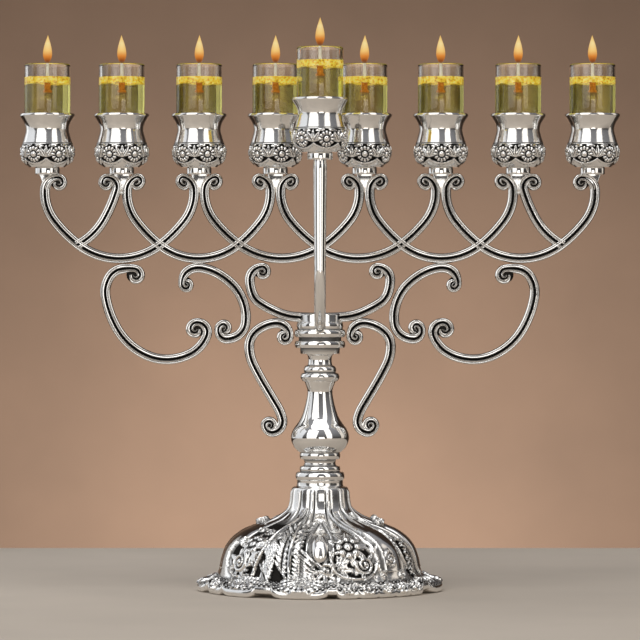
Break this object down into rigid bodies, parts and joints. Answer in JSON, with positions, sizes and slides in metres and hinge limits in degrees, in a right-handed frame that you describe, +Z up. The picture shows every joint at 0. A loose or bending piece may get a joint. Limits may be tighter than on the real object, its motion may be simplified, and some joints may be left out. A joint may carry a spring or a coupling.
{
  "type": "oil menorah",
  "caption": "Table-top Hanukkah lamp: a turned column on a domed foot carries scrolled branches with a row of cup holders, lift-out oil glasses and floating wicks.",
  "frame": {"origin": "centre of the foot's underside, on the table", "axes": "+Z up, +X along the row of cups towards the viewer's right, the shamash cup stands in front at -Y"},
  "size_m": [0.3404, 0.1416, 0.3048],
  "materials": {
    "polished_silver": "polished silver plate, blackened in the recesses",
    "steel_hardware": "plain zinc-plated steel",
    "clear_glass": "clear polished glass",
    "lamp_oil": "clear olive oil",
    "waxed_wick": "waxed cotton on a small float"
  },
  "bodies": {
    "lamp": {"base_shell": "polished_silver", "base_washer": "steel_hardware", "base_nut": "steel_hardware", "tie_rod": "steel_hardware", "lower_collar": "polished_silver", "vase_knop": "polished_silver", "upper_collar": "polished_silver", "hub": "polished_silver", "shamash_arm": "polished_silver", "lyre_scroll": "polished_silver", "branch_spurs": "polished_silver", "cup_collars": "polished_silver", "branch_1": "polished_silver", "branch_2": "polished_silver", "branch_3": "polished_silver", "branch_4": "polished_silver", "branch_5": "polished_silver", "branch_6": "polished_silver", "outer_scroll_left": "polished_silver", "outer_scroll_right": "polished_silver", "inner_scroll_left": "polished_silver", "inner_scroll_right": "polished_silver", "bracket_scroll_left": "polished_silver", "bracket_scroll_right": "polished_silver", "cup_1_holder": "polished_silver", "cup_2_holder": "polished_silver", "cup_3_holder": "polished_silver", "cup_4_holder": "polished_silver", "cup_5_holder": "polished_silver", "cup_6_holder": "polished_silver", "cup_7_holder": "polished_silver", "cup_8_holder": "polished_silver", "shamash_holder": "polished_silver"},
    "cup_1_glass_body": {"cup_1_glass": "clear_glass", "cup_1_oil": "lamp_oil"},
    "cup_1_wick_body": {"cup_1_wick": "waxed_wick"},
    "cup_2_glass_body": {"cup_2_glass": "clear_glass", "cup_2_oil": "lamp_oil"},
    "cup_2_wick_body": {"cup_2_wick": "waxed_wick"},
    "cup_3_glass_body": {"cup_3_glass": "clear_glass", "cup_3_oil": "lamp_oil"},
    "cup_3_wick_body": {"cup_3_wick": "waxed_wick"},
    "cup_4_glass_body": {"cup_4_glass": "clear_glass", "cup_4_oil": "lamp_oil"},
    "cup_4_wick_body": {"cup_4_wick": "waxed_wick"},
    "cup_5_glass_body": {"cup_5_glass": "clear_glass", "cup_5_oil": "lamp_oil"},
    "cup_5_wick_body": {"cup_5_wick": "waxed_wick"},
    "cup_6_glass_body": {"cup_6_glass": "clear_glass", "cup_6_oil": "lamp_oil"},
    "cup_6_wick_body": {"cup_6_wick": "waxed_wick"},
    "cup_7_glass_body": {"cup_7_glass": "clear_glass", "cup_7_oil": "lamp_oil"},
    "cup_7_wick_body": {"cup_7_wick": "waxed_wick"},
    "cup_8_glass_body": {"cup_8_glass": "clear_glass", "cup_8_oil": "lamp_oil"},
    "cup_8_wick_body": {"cup_8_wick": "waxed_wick"},
    "shamash_glass_body": {"shamash_glass": "clear_glass", "shamash_oil": "lamp_oil"},
    "shamash_wick_body": {"shamash_wick": "waxed_wick"}
  },
  "joints": [
    {"name": "cup_1_glass_lift", "type": "slide", "parent": "lamp", "child": "cup_1_glass_body", "axis": [0, 0, 1], "range_m": [0, 0.016]},
    {"name": "cup_1_wick_lift", "type": "slide", "parent": "cup_1_glass_body", "child": "cup_1_wick_body", "axis": [0, 0, 1], "range_m": [0, 0.03]},
    {"name": "cup_2_glass_lift", "type": "slide", "parent": "lamp", "child": "cup_2_glass_body", "axis": [0, 0, 1], "range_m": [0, 0.016]},
    {"name": "cup_2_wick_lift", "type": "slide", "parent": "cup_2_glass_body", "child": "cup_2_wick_body", "axis": [0, 0, 1], "range_m": [0, 0.03]},
    {"name": "cup_3_glass_lift", "type": "slide", "parent": "lamp", "child": "cup_3_glass_body", "axis": [0, 0, 1], "range_m": [0, 0.016]},
    {"name": "cup_3_wick_lift", "type": "slide", "parent": "cup_3_glass_body", "child": "cup_3_wick_body", "axis": [0, 0, 1], "range_m": [0, 0.03]},
    {"name": "cup_4_glass_lift", "type": "slide", "parent": "lamp", "child": "cup_4_glass_body", "axis": [0, 0, 1], "range_m": [0, 0.016]},
    {"name": "cup_4_wick_lift", "type": "slide", "parent": "cup_4_glass_body", "child": "cup_4_wick_body", "axis": [0, 0, 1], "range_m": [0, 0.03]},
    {"name": "cup_5_glass_lift", "type": "slide", "parent": "lamp", "child": "cup_5_glass_body", "axis": [0, 0, 1], "range_m": [0, 0.016]},
    {"name": "cup_5_wick_lift", "type": "slide", "parent": "cup_5_glass_body", "child": "cup_5_wick_body", "axis": [0, 0, 1], "range_m": [0, 0.03]},
    {"name": "cup_6_glass_lift", "type": "slide", "parent": "lamp", "child": "cup_6_glass_body", "axis": [0, 0, 1], "range_m": [0, 0.016]},
    {"name": "cup_6_wick_lift", "type": "slide", "parent": "cup_6_glass_body", "child": "cup_6_wick_body", "axis": [0, 0, 1], "range_m": [0, 0.03]},
    {"name": "cup_7_glass_lift", "type": "slide", "parent": "lamp", "child": "cup_7_glass_body", "axis": [0, 0, 1], "range_m": [0, 0.016]},
    {"name": "cup_7_wick_lift", "type": "slide", "parent": "cup_7_glass_body", "child": "cup_7_wick_body", "axis": [0, 0, 1], "range_m": [0, 0.03]},
    {"name": "cup_8_glass_lift", "type": "slide", "parent": "lamp", "child": "cup_8_glass_body", "axis": [0, 0, 1], "range_m": [0, 0.016]},
    {"name": "cup_8_wick_lift", "type": "slide", "parent": "cup_8_glass_body", "child": "cup_8_wick_body", "axis": [0, 0, 1], "range_m": [0, 0.03]},
    {"name": "shamash_glass_lift", "type": "slide", "parent": "lamp", "child": "shamash_glass_body", "axis": [0, 0, 1], "range_m": [0, 0.016]},
    {"name": "shamash_wick_lift", "type": "slide", "parent": "shamash_glass_body", "child": "shamash_wick_body", "axis": [0, 0, 1], "range_m": [0, 0.03]}
  ]
}
